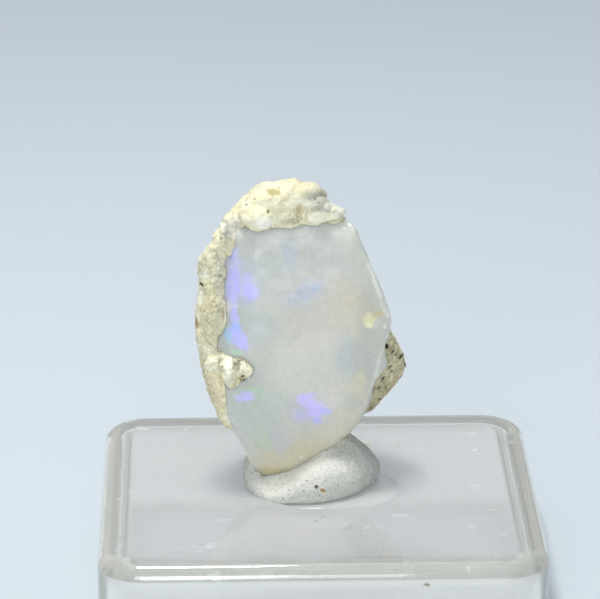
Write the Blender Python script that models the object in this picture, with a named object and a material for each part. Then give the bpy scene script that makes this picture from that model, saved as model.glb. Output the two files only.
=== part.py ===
"""Rough opal specimen: opal in its host rock, pressed into mounting putty on an upturned clear box.

Sizes are in millimetres, and each mesh is scaled to metres as it is made. The origin is the middle of
the box's foot, +Z is up, and the opal's broken face looks towards -Y. The specimen is drawn in a slab
frame of its own: u to the right, w up along the face and n out of the face, from the opal's lowest point.
"""

import math

import bmesh
import bpy
import numpy as np
from mathutils import Vector, noise

MM = 0.001
GAP = 0.3  # left between pieces that touch
SHARP_DEG = 40.0  # an edge that turns by more is drawn sharp

# Upturned clear box
BOX_SIDE = 32.0
BOX_HEIGHT = 7.5
BOX_WALL = 1.2
BOX_CORNER = 3.4  # plan radius of the corners
BOX_EDGE = 1.1  # radius along the top edge
BOX_COVE = 1.2  # radius where the walls meet the top, inside
CORNER_STEPS = 7
EDGE_STEPS = 4

# Specimen: where its lowest point stands, and how far the face leans back
FOOT_X = -3.5
FOOT_Y = -1.5
FOOT_ABOVE_BOX = 1.4
LEAN_DEG = 8.0

# Opal: its outline in the face, as (u, w), the level of its rim and how far it bulges to front and back
OPAL_CENTRE = (2.5, 10.0)
OPAL_OUTLINE = (
    (0.0, 0.0), (-1.4, 0.7), (-2.2, 2.2), (-3.1, 4.2), (-3.3, 6.2), (-3.6, 8.2), (-3.9, 9.9),
    (-3.5, 11.6), (-3.4, 13.6), (-3.4, 15.3), (-3.2, 16.9), (-2.4, 18.1), (-1.0, 18.7), (1.0, 18.9),
    (2.7, 19.1), (4.4, 19.3), (5.5, 19.0), (6.2, 18.3), (6.9, 16.6), (7.9, 14.3), (8.6, 12.4),
    (8.8, 11.0), (8.3, 9.4), (8.5, 8.0), (7.6, 6.9), (7.2, 5.3), (6.5, 3.9), (5.5, 2.8), (4.1, 1.9),
    (2.6, 0.9), (0.9, 0.2),
)
OPAL_RIM = -0.3
OPAL_FRONT = 1.9
OPAL_BACK = 3.0
OPAL_FULLNESS = 0.72  # 1 is an ellipse across, and less is fuller at the rim
OPAL_CUTS = 12
POCKET_FRONT = 6.0  # the rock's bed for the opal is cut this far out of the face
# Broken faces of the opal: a point and the way the face looks, each as (u, w, n)
OPAL_FACES = (
    ((2.5, 11.0, 1.1), (0.0, 0.02, 1.0)),
    ((1.5, 5.6, 1.05), (-0.12, -0.26, 0.95)),
    ((6.6, 9.5, 0.9), (0.42, -0.04, 0.91)),
    ((2.0, 17.8, 0.95), (0.05, 0.42, 0.91)),
    ((-2.4, 9.0, 0.8), (-0.38, 0.05, 0.92)),
)

# Host rock: its outline beside the opal and the wider one behind it, with the corner that stands out
ROCK_CENTRE = (2.0, 11.0)
ROCK_FRONT_OUTLINE = (
    (-3.3, 3.3), (-4.2, 4.6), (-4.8, 6.6), (-5.2, 8.7), (-5.6, 10.9), (-5.3, 13.6), (-5.5, 15.5),
    (-4.8, 16.8), (-3.9, 17.9), (-3.2, 19.0), (-2.2, 20.3), (-0.9, 21.2), (0.8, 21.7), (2.2, 21.7),
    (3.5, 21.9), (4.7, 21.1), (5.6, 19.9), (6.2, 17.4), (6.9, 14.0), (7.6, 11.0), (7.4, 8.5),
    (6.4, 6.3), (4.8, 4.8), (2.5, 4.0), (0.0, 3.4), (-2.0, 2.7),
)
ROCK_BACK_OUTLINE = (
    (-2.2, 3.4), (-3.4, 4.9), (-4.0, 6.8), (-4.4, 8.9), (-4.8, 11.0), (-4.7, 13.4), (-4.6, 15.2),
    (-4.0, 16.6), (-3.2, 17.8), (-2.5, 18.8), (-1.5, 19.8), (-0.4, 20.5), (1.0, 20.9), (2.3, 20.8),
    (3.7, 20.9), (4.9, 19.6), (5.9, 17.7), (7.1, 15.2), (8.3, 12.8), (9.2, 10.6), (10.1, 8.9),
    (10.4, 7.7), (9.6, 6.3), (8.4, 4.9), (7.0, 3.5), (5.0, 3.0), (2.0, 2.9), (-0.6, 2.9),
)
ROCK_BACK_FROM = -3.8  # the back outline holds from here back, and the front one from ROCK_FRONT_FROM on
ROCK_FRONT_FROM = -1.2
ROCK_MIDDLE = -2.6
ROCK_FRONT = 3.9
ROCK_BACK = 5.9
ROCK_FULLNESS = 0.62
ROCK_CUTS = 15
ROCK_FACES = (
    ((2.0, 10.0, -7.2), (-0.12, 0.10, -1.0)),
    ((9.3, 5.6, -4.5), (0.72, -0.66, -0.22)),
    ((9.3, 8.9, -4.5), (0.80, 0.53, -0.30)),
    ((7.6, 8.0, -6.4), (0.55, 0.05, -0.83)),
    ((-4.2, 10.0, -4.6), (-0.78, 0.05, -0.62)),
    ((1.5, 20.2, -4.4), (0.12, 0.72, -0.68)),
    ((1.0, 3.4, -5.6), (0.05, -0.70, -0.71)),
    ((2.0, 12.0, 1.0), (0.0, 0.0, 1.0)),
)
ROCK_RELIEF = ((0.30, 3.0, 4.0), (0.12, 1.0, 9.0))  # height, size and seed of its lumps
# White clay lumps grown on the rock's rim, over the opal's edge: centre and half sizes, each as (u, w, n)
CLAY_LUMPS = (
    ((-4.1, 8.4, 0.55), (0.85, 0.85, 0.70)),
    ((-3.1, 7.8, 0.70), (0.75, 1.00, 0.70)),
    ((-2.1, 8.1, 0.70), (0.65, 0.50, 0.50)),
    ((0.8, 20.1, 0.00), (2.90, 1.65, 1.10)),
    ((-0.8, 19.3, 0.40), (1.50, 0.90, 0.85)),
    ((1.2, 19.5, 0.35), (1.30, 0.85, 0.80)),
    ((3.3, 19.7, 0.40), (1.45, 0.90, 0.85)),
    ((4.7, 19.5, 0.20), (0.95, 0.60, 0.65)),
    ((-4.3, 12.2, 0.35), (0.85, 1.90, 0.70)),
    ((-4.3, 15.3, 0.35), (0.85, 1.90, 0.75)),
    ((-3.5, 17.6, 0.10), (0.80, 1.20, 0.80)),
)
CLAY_UNEVEN = 0.30  # how far a lump's size varies round it, as a share
CLAY_STRIP_FROM = 8  # the lumps from here on form the strip along the left edge, which is broken flat
CLAY_STRIP_FACE = ((-4.2, 14.0, 0.72), (-0.30, 0.0, 0.95))

# Putty: its outline on the box, as (x, y), and its sections upward, as (height, share of the outline)
PUTTY_CENTRE = (-0.6, 0.6)
PUTTY_OUTLINE = (
    (-1.6, -4.2), (-3.6, -3.3), (-5.0, -1.6), (-5.6, 0.6), (-5.0, 2.9), (-3.3, 4.6), (-0.8, 5.2),
    (1.8, 4.9), (3.7, 3.7), (4.6, 1.7), (4.0, -0.4), (2.6, -2.4), (0.6, -3.8),
)
PUTTY_SECTIONS = (
    (0.0, 0.93), (0.4, 0.985), (0.9, 1.0), (1.4, 0.98), (1.9, 0.93), (2.3, 0.84), (2.6, 0.72),
    (2.8, 0.56), (2.9, 0.38), (2.95, 0.18),
)
PUTTY_TURNS = 56
# Where it is heaped up behind the opal or pressed down by its foot: (x, y), reach and rise
PUTTY_SWELLS = (
    ((1.3, 1.0), 2.1, 1.05), ((-3.6, -2.2), 2.3, -1.5), ((-1.6, -1.6), 2.0, -0.7), ((4.4, 1.6), 2.2, -1.1),
)
PUTTY_RELIEF = (0.14, 2.2, 6.0)  # height, size and seed of its unevenness
PUTTY_FLAT_FOOT = 0.2  # kept even, up to this height


def slab(u, w, n):
    """A point or direction of the slab frame, in the specimen's own axes."""
    return Vector((u, -n, w))


def smooth_loop(points, steps=24):
    """Closed Catmull-Rom curve through the points, as an array of (x, y)."""
    p = np.array(points)
    before, after, beyond = np.roll(p, 1, 0), np.roll(p, -1, 0), np.roll(p, -2, 0)
    t = np.linspace(0.0, 1.0, steps, endpoint=False)[None, :, None]
    p, before, after, beyond = (a[:, None, :] for a in (p, before, after, beyond))
    curve = 2 * p + (after - before) * t
    curve = curve + (2 * before - 5 * p + 4 * after - beyond) * t**2
    curve = curve + (3 * p - before - 3 * after + beyond) * t**3
    return curve.reshape(-1, 2) / 2


def radii(outline, centre):
    """Function of an angle that gives the distance from the centre to the outline."""
    away = smooth_loop(outline) - np.array(centre)
    angles = np.arctan2(away[:, 1], away[:, 0]) % math.tau
    order = np.argsort(angles)
    angles, reach = angles[order], np.hypot(*away.T)[order]
    return lambda angle: float(np.interp(angle % math.tau, angles, reach, period=math.tau))


def loft(rings):
    """Closed bmesh through rings of as many points each, with a fan over the first and the last."""
    bm = bmesh.new()
    rows = [[bm.verts.new(p) for p in ring] for ring in rings]
    count = len(rows[0])
    for low, high in zip(rows, rows[1:]):
        for i in range(count):
            j = (i + 1) % count
            bm.faces.new((low[i], low[j], high[j], high[i]))
    for row, ring in ((rows[0], rings[0]), (rows[-1], rings[-1])):
        hub = bm.verts.new(sum((Vector(p) for p in ring), Vector()) / count)
        for i in range(count):
            bm.faces.new((row[i], row[(i + 1) % count], hub))
    bmesh.ops.recalc_face_normals(bm, faces=bm.faces)
    return bm


def flatten(v, point, looks, clearance, keep):
    """Brings a vertex beyond a broken face back to it, and keeps a share of its relief."""
    out = slab(*looks).normalized()
    beyond = (v.co - slab(*point)).dot(out) - clearance
    if beyond > 0:
        v.co -= out * beyond * (1 - keep)


def break_faces(bm, faces, clearance=0.0):
    """Flattens what stands beyond each broken face."""
    for point, looks in faces:
        for v in bm.verts:
            flatten(v, point, looks, clearance, 0.06)


def roughen(bm, height, size, seed, above=-math.inf):
    """Moves the surface above a level in and out by about height, in lumps about size across."""
    bm.normal_update()
    shift = Vector((seed, 2.3 * seed, -1.7 * seed))
    for v in bm.verts:
        if v.co.z > above:
            v.co += v.normal * height * noise.fractal(v.co / size + shift, 0.9, 2.0, 3)


def material(name, colour, roughness, alpha=1.0):
    made = bpy.data.materials.new(name)
    made.use_nodes = True
    shader = made.node_tree.nodes["Principled BSDF"]
    shader.inputs["Base Color"].default_value = (*colour, 1.0)
    shader.inputs["Roughness"].default_value = roughness
    shader.inputs["Alpha"].default_value = alpha
    return made


def object_from(name, bm, finish=None):
    """Object in metres with this mesh. One with no finish is a cutter or a guide, and isn't a piece."""
    bmesh.ops.scale(bm, vec=(MM, MM, MM), verts=bm.verts)
    bmesh.ops.triangulate(bm, faces=bm.faces)
    mesh = bpy.data.meshes.new(name)
    bm.to_mesh(mesh)
    bm.free()
    mesh.shade_smooth()
    mesh.set_sharp_from_angle(angle=math.radians(SHARP_DEG))
    made = bpy.data.objects.new(name, mesh)
    bpy.context.scene.collection.objects.link(made)
    if finish is None:
        made.hide_render = True
        made.display_type = "WIRE"
    else:
        mesh.materials.append(finish)
    return made


def stand_up(*objects):
    """Puts objects drawn in the slab frame where the specimen stands."""
    for made in objects:
        made.location = Vector((FOOT_X, FOOT_Y, BOX_HEIGHT + FOOT_ABOVE_BOX)) * MM
        made.rotation_euler = (-math.radians(LEAN_DEG), 0.0, 0.0)


def combine(target, operation, other):
    step = target.modifiers.new(f"{operation.lower()} {other.name}", "BOOLEAN")
    step.operation = operation
    step.object = other
    step.solver = "EXACT"
    step.use_self = True


def pillow(centre, cuts, fullness, shape_at):
    """Ball drawn out to an outline: shape_at gives (n, reach) for a side of -1 to 1 and an angle."""
    bm = bmesh.new()
    bmesh.ops.create_cube(bm, size=2.0)
    bmesh.ops.subdivide_edges(bm, edges=bm.edges, cuts=cuts, use_grid_fill=True)
    for v in bm.verts:
        v.co = Vector([math.tan(c * math.pi / 4) for c in v.co]).normalized()
        across = math.hypot(v.co.x, v.co.z)
        angle = math.atan2(v.co.z, v.co.x)
        side = math.copysign(abs(v.co.y) ** fullness, -v.co.y)
        n, reach = shape_at(side, angle)
        out = reach * across**fullness
        v.co = slab(centre[0] + out * math.cos(angle), centre[1] + out * math.sin(angle), n)
    bmesh.ops.recalc_face_normals(bm, faces=bm.faces)
    return bm


def opal_pillow(clearance, front):
    """The opal before its face is broken, grown by clearance, with a front that bulges so far."""
    reach = radii(OPAL_OUTLINE, OPAL_CENTRE)

    def shape_at(side, angle):
        bulge = (front if side > 0 else OPAL_BACK) + clearance
        return OPAL_RIM + side * bulge, reach(angle) + clearance

    return pillow(OPAL_CENTRE, OPAL_CUTS, OPAL_FULLNESS, shape_at)


def opal_shape(clearance=0.0):
    """The opal, or the room that it takes up, grown by clearance."""
    bm = opal_pillow(clearance, OPAL_FRONT)
    break_faces(bm, OPAL_FACES, clearance)
    return bm


def rock_shape():
    front = radii(ROCK_FRONT_OUTLINE, ROCK_CENTRE)
    back = radii(ROCK_BACK_OUTLINE, ROCK_CENTRE)

    def shape_at(side, angle):
        n = ROCK_MIDDLE + side * (ROCK_FRONT if side > 0 else ROCK_BACK)
        t = min(max((n - ROCK_BACK_FROM) / (ROCK_FRONT_FROM - ROCK_BACK_FROM), 0.0), 1.0)
        t = t * t * (3 - 2 * t)
        return n, back(angle) * (1 - t) + front(angle) * t

    bm = pillow(ROCK_CENTRE, ROCK_CUTS, ROCK_FULLNESS, shape_at)
    break_faces(bm, ROCK_FACES)
    for height, size, seed in ROCK_RELIEF:
        roughen(bm, height, size, seed)
    return bm


def lumps_shape(clearance=0.0):
    """The clay lumps as one mesh of overlapping balls, each a little uneven."""
    bm = bmesh.new()
    for i, (centre, half) in enumerate(CLAY_LUMPS):
        ball = bmesh.ops.create_icosphere(bm, subdivisions=2, radius=1.0)["verts"]
        for v in ball:
            uneven = 1.0 + CLAY_UNEVEN * noise.noise(v.co * 1.2 + Vector((5.0 * i, 1.0, 0.0)))
            grown = [h * uneven + clearance for h in half]
            v.co = slab(*centre) + slab(*(v.co[k] * grown[k] for k in range(3)))
            if i >= CLAY_STRIP_FROM:
                flatten(v, *CLAY_STRIP_FACE, clearance, 0.25)
    bmesh.ops.recalc_face_normals(bm, faces=bm.faces)
    return bm


def putty_shape():
    reach = radii(PUTTY_OUTLINE, PUTTY_CENTRE)
    top = PUTTY_SECTIONS[-1][0]
    foot = BOX_HEIGHT + GAP
    rings = []
    for height, share in PUTTY_SECTIONS:
        ring = []
        for turn in range(PUTTY_TURNS):
            angle = math.tau * turn / PUTTY_TURNS
            x = PUTTY_CENTRE[0] + reach(angle) * share * math.cos(angle)
            y = PUTTY_CENTRE[1] + reach(angle) * share * math.sin(angle)
            swell = 0.0
            for place, wide, rise in PUTTY_SWELLS:
                swell += rise * math.exp(-math.dist((x, y), place) ** 2 / wide**2)
            ring.append(Vector((x, y, foot + height * (1 + swell / top))))
        rings.append(ring)
    bm = loft(rings)
    roughen(bm, *PUTTY_RELIEF, above=foot + PUTTY_FLAT_FOOT)
    return bm


def rounded_square(inset, z):
    """Ring of the box's plan outline, inset all round, at height z."""
    half = BOX_SIDE / 2 - inset
    radius = BOX_CORNER - inset
    ring = []
    for quarter in range(4):
        for step in range(CORNER_STEPS + 1):
            a = math.radians(90.0 * quarter + 90.0 * step / CORNER_STEPS)
            x = math.copysign(half - radius, math.cos(math.radians(90.0 * quarter + 45.0)))
            y = math.copysign(half - radius, math.sin(math.radians(90.0 * quarter + 45.0)))
            ring.append(Vector((x + radius * math.cos(a), y + radius * math.sin(a), z)))
    return ring


def box_shape():
    """The box upside down: one shell, open at its foot, with a rounded top edge and a cove inside."""
    ceiling = BOX_HEIGHT - BOX_WALL
    outside = [rounded_square(0.0, 0.0)]
    inside = [rounded_square(BOX_WALL, 0.0)]
    for step in range(EDGE_STEPS + 1):
        a = math.radians(90.0 * step / EDGE_STEPS)
        edge_in, edge_up = BOX_EDGE * (1 - math.cos(a)), BOX_EDGE * (math.sin(a) - 1)
        cove_in, cove_up = BOX_COVE * (1 - math.cos(a)), BOX_COVE * (math.sin(a) - 1)
        outside.append(rounded_square(edge_in, BOX_HEIGHT + edge_up))
        inside.append(rounded_square(BOX_WALL + cove_in, ceiling + cove_up))
    return loft(inside[::-1] + outside)


def main():
    for old in list(bpy.data.objects):
        bpy.data.objects.remove(old)

    opal_finish = material("milky opal", (0.60, 0.62, 0.60), 0.22)
    rock_finish = material("cream host rock", (0.66, 0.62, 0.47), 0.9)
    putty_finish = material("white putty", (0.74, 0.75, 0.72), 0.75)
    box_finish = material("clear plastic", (0.86, 0.89, 0.90), 0.08, alpha=0.35)

    opal_pocket = object_from("opal_pocket", opal_pillow(GAP, POCKET_FRONT))
    opal_press = object_from("opal_press", opal_shape(GAP))
    lumps = object_from("clay_lumps", lumps_shape())
    lumps_room = object_from("clay_lumps_room", lumps_shape(GAP))

    opal = object_from("opal", opal_shape(), opal_finish)
    combine(opal, "DIFFERENCE", lumps_room)

    rock = object_from("host_rock", rock_shape(), rock_finish)
    combine(rock, "DIFFERENCE", opal_pocket)
    combine(rock, "UNION", lumps)

    stand_up(opal_pocket, opal_press, lumps, lumps_room, opal, rock)

    putty = object_from("mounting_putty", putty_shape(), putty_finish)
    combine(putty, "DIFFERENCE", opal_press)

    object_from("display_box", box_shape(), box_finish)


main()
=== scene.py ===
"""Dresses the rough opal specimen: the opal, its host rock, the putty and the clear box that they stand on.

Sizes are in millimetres and meshes are made in metres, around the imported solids. The specimen has a slab
frame of its own: u to the right, w up along the opal's face and n out of the face, from its lowest point.
"""

import logging
import math
from collections.abc import Callable
from dataclasses import dataclass, field
from enum import Enum

import bmesh
import bpy
import numpy as np
from mathutils import Matrix, Vector, noise
from mathutils.bvhtree import BVHTree


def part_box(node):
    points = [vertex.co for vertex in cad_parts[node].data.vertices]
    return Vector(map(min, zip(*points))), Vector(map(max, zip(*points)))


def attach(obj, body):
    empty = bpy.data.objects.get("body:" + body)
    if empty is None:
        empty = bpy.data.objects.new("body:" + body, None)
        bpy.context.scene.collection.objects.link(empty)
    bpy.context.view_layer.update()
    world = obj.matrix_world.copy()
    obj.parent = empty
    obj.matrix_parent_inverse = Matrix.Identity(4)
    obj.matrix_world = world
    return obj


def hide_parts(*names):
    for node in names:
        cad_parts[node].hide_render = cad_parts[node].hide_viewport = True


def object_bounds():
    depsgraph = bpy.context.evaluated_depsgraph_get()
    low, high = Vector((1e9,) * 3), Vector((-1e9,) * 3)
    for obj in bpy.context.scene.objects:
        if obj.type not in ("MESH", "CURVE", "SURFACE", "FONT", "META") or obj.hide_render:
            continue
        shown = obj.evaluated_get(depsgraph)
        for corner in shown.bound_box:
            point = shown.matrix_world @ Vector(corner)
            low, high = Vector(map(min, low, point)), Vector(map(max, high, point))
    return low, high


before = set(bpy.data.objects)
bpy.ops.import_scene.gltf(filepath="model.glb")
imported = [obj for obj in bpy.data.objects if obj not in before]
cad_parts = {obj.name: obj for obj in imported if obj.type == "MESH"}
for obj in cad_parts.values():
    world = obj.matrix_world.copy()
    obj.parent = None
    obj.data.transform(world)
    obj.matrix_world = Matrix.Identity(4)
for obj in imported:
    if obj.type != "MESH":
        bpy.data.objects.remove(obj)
CAD_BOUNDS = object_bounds()

MM = 0.001
MIX_UNDER, MIX_OVER, MIX_RESULT = 6, 7, 2  # the colour sockets of a Mix node
BOX_CORNER = 3.4
Triple = tuple[float, float, float]
Limits = tuple[float, float]
Socket = bpy.types.NodeSocket
NONE: Triple = (0.0, 0.0, 0.0)  # no shift, or no turn
log = logging.getLogger("specimen")


class Node(Enum):
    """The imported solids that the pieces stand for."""

    OPAL = "opal"
    ROCK = "host_rock"
    PUTTY = "mounting_putty"
    BOX = "display_box"


class Axis(Enum):
    """The coordinates of a vector. In slab coordinates they are u, -n and w."""

    X = "X"
    Y = "Y"
    Z = "Z"


class Sum(Enum):
    """The steps of arithmetic, with numbers or with vectors, that the finishes take."""

    PLUS = "ADD"
    MINUS = "SUBTRACT"
    TIMES = "MULTIPLY"
    TIMES_PLUS = "MULTIPLY_ADD"
    LARGER = "MAXIMUM"
    SMALLER = "MINIMUM"
    POWER = "POWER"
    ROOT = "SQRT"
    SIZE = "ABSOLUTE"
    LENGTH = "LENGTH"
    SCALE = "SCALE"


@dataclass(frozen=True)
class SlabFrame:
    """Where the specimen stands, and the frame that its details are placed in."""

    foot_x: float = -3.5
    foot_y: float = -1.5
    foot_above_box: float = 1.4
    lean_deg: float = 8.0

    @property
    def foot(self) -> Vector:
        """The opal's lowest point, in metres."""
        return Vector((self.foot_x * MM, self.foot_y * MM, box_top() + self.foot_above_box * MM))

    @property
    def turn(self) -> Triple:
        """The frame's Euler angles, which lean it back."""
        return (-math.radians(self.lean_deg), 0.0, 0.0)

    def axes(self) -> np.ndarray:
        """The directions u, w and n.

        Returns:
            Them as the columns of a matrix.
        """
        lean = math.radians(self.lean_deg)
        return np.array([[1.0, 0.0, 0.0],
                         [0.0, math.sin(lean), -math.cos(lean)],
                         [0.0, math.cos(lean), math.sin(lean)]])


def box_top() -> float:
    """Height of the box's top, in metres."""
    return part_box(Node.BOX.value)[1].z


SLAB = SlabFrame()


@dataclass(frozen=True)
class Spot:
    """A soft ellipsoid inside a stone or a lump, placed in the slab frame.

    Attributes:
        centre: its middle, as (u, w, n).
        half: its half sizes, as (u, w, n).
        colour: its linear colour.
        share: how much of that colour shows at its middle.
        soft: how far from its edge, as a share of its size, the colour starts to fade.
        turn_deg: how far it is turned in the face, counter-clockwise.
    """

    centre: Triple
    half: Triple
    colour: Triple
    share: float = 1.0
    soft: float = 0.5
    turn_deg: float = 0.0


@dataclass(frozen=True)
class Mark:
    """A mark on the box: its middle, from the middle of the box's foot, its half sizes and its colour."""

    centre: Triple
    half: Triple
    colour: Triple


@dataclass(frozen=True)
class Wobble:
    """Waves that push coordinates about: their width, how far they push at most, and their finer layers."""

    size: float
    reach: float
    detail: float = 3.0
    rough: float = 0.5


@dataclass(frozen=True)
class Clouds:
    """Cloudy noise: how wide its clouds are, how many finer layers it has and how strong they are."""

    size: float
    detail: float = 2.0
    rough: float = 0.55


@dataclass(frozen=True)
class Patches:
    """Clouds that step smoothly from start, where they are at low, to end, where they are at high."""

    clouds: Clouds
    low: float
    high: float
    start: float = 0.0
    end: float = 1.0


@dataclass(frozen=True)
class Dots:
    """Scattered dots: how far apart they are, their edge and core as shares of that, and their strength."""

    apart: float
    edge: float
    core: float
    share: float = 1.0


@dataclass(frozen=True)
class Cracks:
    """Thin winding lines: how far apart they are, their width as a share of the noise, and their detail."""

    apart: float
    width: float
    detail: float = 3.0


class Graph:
    """Builds the nodes of one material, and names the few kinds that these finishes use."""

    def __init__(self, name: str) -> None:
        """Starts a material with a Principled shader.

        Args:
            name: the material's name.
        """
        self.material = bpy.data.materials.new(name)
        self.material.use_nodes = True
        self.tree = self.material.node_tree
        self.shader = self.tree.nodes["Principled BSDF"]
        coordinates = self.tree.nodes.new("ShaderNodeTexCoord")
        self.object_space = coordinates.outputs["Object"]

    def put(self, socket: Socket, value: Socket | float | Triple | Vector) -> None:
        """Links a socket to another, or sets its value.

        Args:
            socket: the input to fill.
            value: an output to link, a number, or three numbers for a vector or a colour.
        """
        if isinstance(value, bpy.types.NodeSocket):
            self.tree.links.new(value, socket)
        elif isinstance(value, (int, float)):
            socket.default_value = value
        elif socket.type == "RGBA":
            socket.default_value = (*value, 1.0)
        else:
            socket.default_value = value

    def set(self, name: str, value: Socket | float | Triple) -> None:
        """Fills an input of the Principled shader."""
        self.put(self.shader.inputs[name], value)

    def box_space(self) -> Socket:
        """Coordinates in millimetres from the middle of the box's foot."""
        return self.placed(self.object_space, NONE, NONE, (MM, MM, MM))

    def slab_space(self) -> Socket:
        """Slab coordinates in millimetres, as (u, -n, w)."""
        return self.placed(self.object_space, SLAB.foot, SLAB.turn, (MM, MM, MM))

    def placed(self, vector: Socket, place: Vector | Triple, turn: Triple, size: Triple) -> Socket:
        """Coordinates seen from axes of their own.

        Args:
            vector: the coordinates to start from.
            place: where the axes stand.
            turn: their Euler angles.
            size: the length of a unit along each.

        Returns:
            The coordinates along those axes.
        """
        node = self.tree.nodes.new("ShaderNodeMapping")
        node.vector_type = "TEXTURE"
        self.put(node.inputs["Vector"], vector)
        self.put(node.inputs["Location"], place)
        self.put(node.inputs["Rotation"], turn)
        self.put(node.inputs["Scale"], size)
        return node.outputs["Vector"]

    def noise(self, vector: Socket, clouds: Clouds | Wobble) -> bpy.types.Node:
        """A noise node.

        Args:
            vector: where to read it.
            clouds: its size, detail and roughness.

        Returns:
            The node.
        """
        node = self.tree.nodes.new("ShaderNodeTexNoise")
        self.put(node.inputs["Vector"], vector)
        self.put(node.inputs["Scale"], 1.0 / clouds.size)
        self.put(node.inputs["Detail"], clouds.detail)
        self.put(node.inputs["Roughness"], clouds.rough)
        return node

    def grain(self, vector: Socket, clouds: Clouds) -> Socket:
        """Cloudy noise around 0.5, from 0 to 1."""
        return self.noise(vector, clouds).outputs["Fac"]

    def patches(self, vector: Socket, patches: Patches) -> Socket:
        """The values that clouds are stepped to."""
        clouds = self.grain(vector, patches.clouds)
        return self.ramp(clouds, patches.low, patches.high, patches.start, patches.end)

    def dots(self, vector: Socket, dots: Dots) -> Socket:
        """How much of scattered dots shows.

        Args:
            vector: where to read them.
            dots: the dots.

        Returns:
            From 0 away from them to their share.
        """
        node = self.tree.nodes.new("ShaderNodeTexVoronoi")
        self.put(node.inputs["Vector"], vector)
        self.put(node.inputs["Scale"], 1.0 / dots.apart)
        return self.ramp(node.outputs["Distance"], dots.edge, dots.core, 0.0, dots.share)

    def cracks(self, vector: Socket, cracks: Cracks) -> Socket:
        """How much of the lines shows, which is 1 along them and 0 away from them."""
        clouds = self.grain(vector, Clouds(cracks.apart, cracks.detail))
        return self.ramp(self.sum(Sum.SIZE, self.sum(Sum.MINUS, clouds, 0.5)), cracks.width, 0.0)

    def wobble(self, vector: Socket, wobble: Wobble) -> Socket:
        """Coordinates pushed about by noise, so that shapes read in them get ragged edges.

        Args:
            vector: the coordinates to push.
            wobble: the waves that push them.

        Returns:
            The pushed coordinates.
        """
        waves = self.noise(vector, wobble).outputs["Color"]
        centred = self.vector_sum(Sum.MINUS, vector, (wobble.reach,) * 3).outputs["Vector"]
        return self.vector_sum(Sum.TIMES_PLUS, waves, (2 * wobble.reach,) * 3, centred).outputs["Vector"]

    def ramp(self, value: Socket, low: float, high: float, start: Socket | float = 0.0,
             end: Socket | float = 1.0) -> Socket:
        """Smooth step of a value.

        Args:
            value: the value.
            low: where the step starts.
            high: where it ends.
            start: what comes out before it.
            end: what comes out after it.

        Returns:
            The stepped value.
        """
        node = self.tree.nodes.new("ShaderNodeMapRange")
        node.interpolation_type = "SMOOTHSTEP"
        self.put(node.inputs["Value"], value)
        for name, number in (("From Min", low), ("From Max", high), ("To Min", start), ("To Max", end)):
            self.put(node.inputs[name], number)
        return node.outputs["Result"]

    def between(self, share: Socket, start: Socket | float, end: Socket | float) -> Socket:
        """What lies between start at share 0 and end at share 1."""
        return self.ramp(share, 0.0, 1.0, start, end)

    def sum(self, step: Sum, first: Socket | float, second: Socket | float = 0.0) -> Socket:
        """One step of arithmetic.

        Args:
            step: the step.
            first: its first value.
            second: its second value, if it takes one.

        Returns:
            What it gives.
        """
        node = self.tree.nodes.new("ShaderNodeMath")
        node.operation = step.value
        self.put(node.inputs[0], first)
        self.put(node.inputs[1], second)
        return node.outputs["Value"]

    def vector_sum(self, step: Sum, *terms: Socket | Triple) -> bpy.types.Node:
        """One step of arithmetic with vectors.

        Args:
            step: the step.
            terms: what it takes.

        Returns:
            The node.
        """
        node = self.tree.nodes.new("ShaderNodeVectorMath")
        node.operation = step.value
        for socket, term in zip(node.inputs, terms):
            self.put(socket, term)
        return node

    def times(self, first: Socket, second: Socket | float) -> Socket:
        """The product of two values."""
        return self.sum(Sum.TIMES, first, second)

    def largest(self, first: Socket, *others: Socket | float) -> Socket:
        """The largest of some values.

        Args:
            first: one of them.
            others: the others.

        Returns:
            The largest.
        """
        for other in others:
            first = self.sum(Sum.LARGER, first, other)
        return first

    def scaled(self, colour: Socket, factor: Socket) -> Socket:
        """A colour made darker or lighter.

        Args:
            colour: the colour.
            factor: what it is multiplied by.

        Returns:
            The colour that comes out.
        """
        node = self.vector_sum(Sum.SCALE, colour)
        self.put(node.inputs["Scale"], factor)
        return node.outputs["Vector"]

    def part(self, vector: Socket, axis: Axis) -> Socket:
        """One coordinate of a vector.

        Args:
            vector: the vector.
            axis: which one.

        Returns:
            The coordinate.
        """
        node = self.tree.nodes.new("ShaderNodeSeparateXYZ")
        self.put(node.inputs["Vector"], vector)
        return node.outputs[axis.value]

    def layer(self, under: Socket | Triple, over: Socket | Triple, share: Socket | float) -> Socket:
        """Lays one colour over another.

        Args:
            under: the colour so far.
            over: the colour to lay on it.
            share: how much of the new colour shows, from 0 to 1.

        Returns:
            The colour that comes out.
        """
        node = self.tree.nodes.new("ShaderNodeMix")
        node.data_type = "RGBA"
        self.put(node.inputs["Factor"], share)
        self.put(node.inputs[MIX_UNDER], under)
        self.put(node.inputs[MIX_OVER], over)
        return node.outputs[MIX_RESULT]

    def away(self, space: Socket, centre: Triple, half: Triple, turn: Triple = NONE) -> Socket:
        """How far each place is from the middle of an ellipsoid. The distance is 1 on its surface."""
        return self.vector_sum(Sum.LENGTH, self.placed(space, centre, turn, half)).outputs["Value"]

    def spot(self, space: Socket, spot: Spot) -> Socket:
        """How much of a spot's colour shows.

        Args:
            space: slab coordinates, in millimetres.
            spot: the spot.

        Returns:
            From 0 away from it to its share.
        """
        u, w, n = spot.centre
        half = (spot.half[0], spot.half[2], spot.half[1])
        away = self.away(space, (u, -n, w), half, (0.0, -math.radians(spot.turn_deg), 0.0))
        return self.ramp(away, 1.0 + spot.soft, 1.0 - spot.soft, 0.0, spot.share)

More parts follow.
